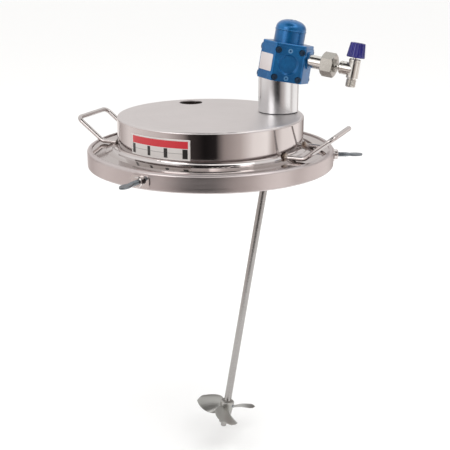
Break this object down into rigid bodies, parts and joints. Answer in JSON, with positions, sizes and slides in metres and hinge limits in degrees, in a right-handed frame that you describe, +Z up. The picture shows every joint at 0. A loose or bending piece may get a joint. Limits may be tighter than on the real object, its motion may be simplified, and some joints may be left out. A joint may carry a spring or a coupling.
{
  "type": "tank agitator",
  "caption": "Air-driven propeller agitator on a domed stainless pail lid, with a tilted shaft, a needle valve, lifting handles and rim clamp screws.",
  "frame": {"origin": "centre of the pail's mouth, on the gasket's sealing face", "axes": "+Z up and away from the pail; the drive stands on the +X side of the lid and leans outwards in the XZ plane, so the shaft comes down towards the lid axis"},
  "size_m": [0.3609, 0.3494, 0.5762],
  "materials": {
    "satin_stainless": "satin",
    "gasket_rubber": "matte",
    "plate_enamel": "gloss",
    "polished_stainless": "polished",
    "zinc_plated_steel": "dull plated",
    "machined_aluminium": "turned",
    "steel_fasteners": "plain",
    "bearing_bronze": "turned",
    "motor_blue": "satin anodised",
    "bearing_steel": "ground",
    "felt": "matte",
    "shaft_stainless": "ground",
    "nickel_plated_brass": "nickel plated",
    "knob_plastic": "moulded"
  },
  "bodies": {
    "lid": {"adapter_gasket": "gasket_rubber", "adapter_screws": "steel_fasteners", "adapter_tube": "machined_aluminium", "clamp_saddle_1": "polished_stainless", "clamp_saddle_2": "polished_stainless", "clamp_saddle_3": "polished_stainless", "cylinder_cap_1": "motor_blue", "cylinder_cap_2": "motor_blue", "cylinder_cap_3": "motor_blue", "cylinder_cap_plugs": "motor_blue", "cylinder_cap_screws": "steel_fasteners", "inlet_nipple": "nickel_plated_brass", "lid_pan": "satin_stainless", "lifting_handle_1": "polished_stainless", "lifting_handle_2": "polished_stainless", "lower_bearing": "bearing_steel", "motor_housing": "motor_blue", "motor_screws": "steel_fasteners", "motor_top_cover": "motor_blue", "muffler_body": "motor_blue", "muffler_cap": "motor_blue", "muffler_felt": "felt", "piston_1": "machined_aluminium", "piston_2": "machined_aluminium", "piston_3": "machined_aluminium", "rating_plate": "plate_enamel", "rim_gasket": "gasket_rubber", "rim_ring": "satin_stainless", "shaft_bush": "bearing_bronze", "shaft_seal": "gasket_rubber", "top_cover_screws": "steel_fasteners", "union_nut": "nickel_plated_brass", "union_tail": "nickel_plated_brass", "upper_bearing": "bearing_steel", "valve_body": "nickel_plated_brass", "valve_gland": "nickel_plated_brass"},
    "agitator": {"crankshaft": "bearing_steel", "shaft_coupling": "bearing_steel", "coupling_set_screws": "steel_fasteners", "agitator_shaft": "shaft_stainless", "propeller": "shaft_stainless", "hub_set_screw": "steel_fasteners", "propeller_washer": "shaft_stainless", "propeller_nut": "shaft_stainless"},
    "knob": {"valve_knob": "knob_plastic"},
    "needle": {"valve_needle": "nickel_plated_brass"},
    "clamp_pad_1": {"clamp_pad_1": "zinc_plated_steel"},
    "clamp_screw_1": {"clamp_screw_1": "zinc_plated_steel"},
    "clamp_pad_2": {"clamp_pad_2": "zinc_plated_steel"},
    "clamp_screw_2": {"clamp_screw_2": "zinc_plated_steel"},
    "clamp_pad_3": {"clamp_pad_3": "zinc_plated_steel"},
    "clamp_screw_3": {"clamp_screw_3": "zinc_plated_steel"}
  },
  "joints": [
    {"name": "agitator_spin", "type": "hinge", "parent": "lid", "child": "agitator", "pos_m": [0.089, 0, 0.0485], "axis": [0.1564, 0, 0.9877], "continuous": true},
    {"name": "knob_turn", "type": "hinge", "parent": "lid", "child": "knob", "pos_m": [0.17159, -0.05642, 0.10832], "axis": [0.1564, 0, 0.9877], "range_deg": [0, 1080]},
    {"name": "needle_lift", "type": "slide", "parent": "lid", "child": "needle", "axis": [0.1564, 0, 0.9877], "range_m": [0, 0.003]},
    {"name": "clamp_1_advance", "type": "slide", "parent": "lid", "child": "clamp_pad_1", "axis": [-0.9781, 0.2079, 0], "range_m": [0, 0.004]},
    {"name": "clamp_1_turn", "type": "hinge", "parent": "clamp_pad_1", "child": "clamp_screw_1", "pos_m": [0.1565, -0.03327, -0.005], "axis": [-0.9781, 0.2079, 0], "range_deg": [0, 1440]},
    {"name": "clamp_2_advance", "type": "slide", "parent": "lid", "child": "clamp_pad_2", "axis": [0.309, -0.9511, 0], "range_m": [0, 0.004]},
    {"name": "clamp_2_turn", "type": "hinge", "parent": "clamp_pad_2", "child": "clamp_screw_2", "pos_m": [-0.04944, 0.15217, -0.005], "axis": [0.309, -0.9511, 0], "range_deg": [0, 1440]},
    {"name": "clamp_3_advance", "type": "slide", "parent": "lid", "child": "clamp_pad_3", "axis": [0.6691, 0.7431, 0], "range_m": [0, 0.004]},
    {"name": "clamp_3_turn", "type": "hinge", "parent": "clamp_pad_3", "child": "clamp_screw_3", "pos_m": [-0.10706, -0.1189, -0.005], "axis": [0.6691, 0.7431, 0], "range_deg": [0, 1440]}
  ],
  "couplings": [
    {"joint": "knob_turn", "follows": "needle_lift", "rad_per_m": 6283.2},
    {"joint": "clamp_1_turn", "follows": "clamp_1_advance", "rad_per_m": 6283.2},
    {"joint": "clamp_2_turn", "follows": "clamp_2_advance", "rad_per_m": 6283.2},
    {"joint": "clamp_3_turn", "follows": "clamp_3_advance", "rad_per_m": 6283.2}
  ]
}
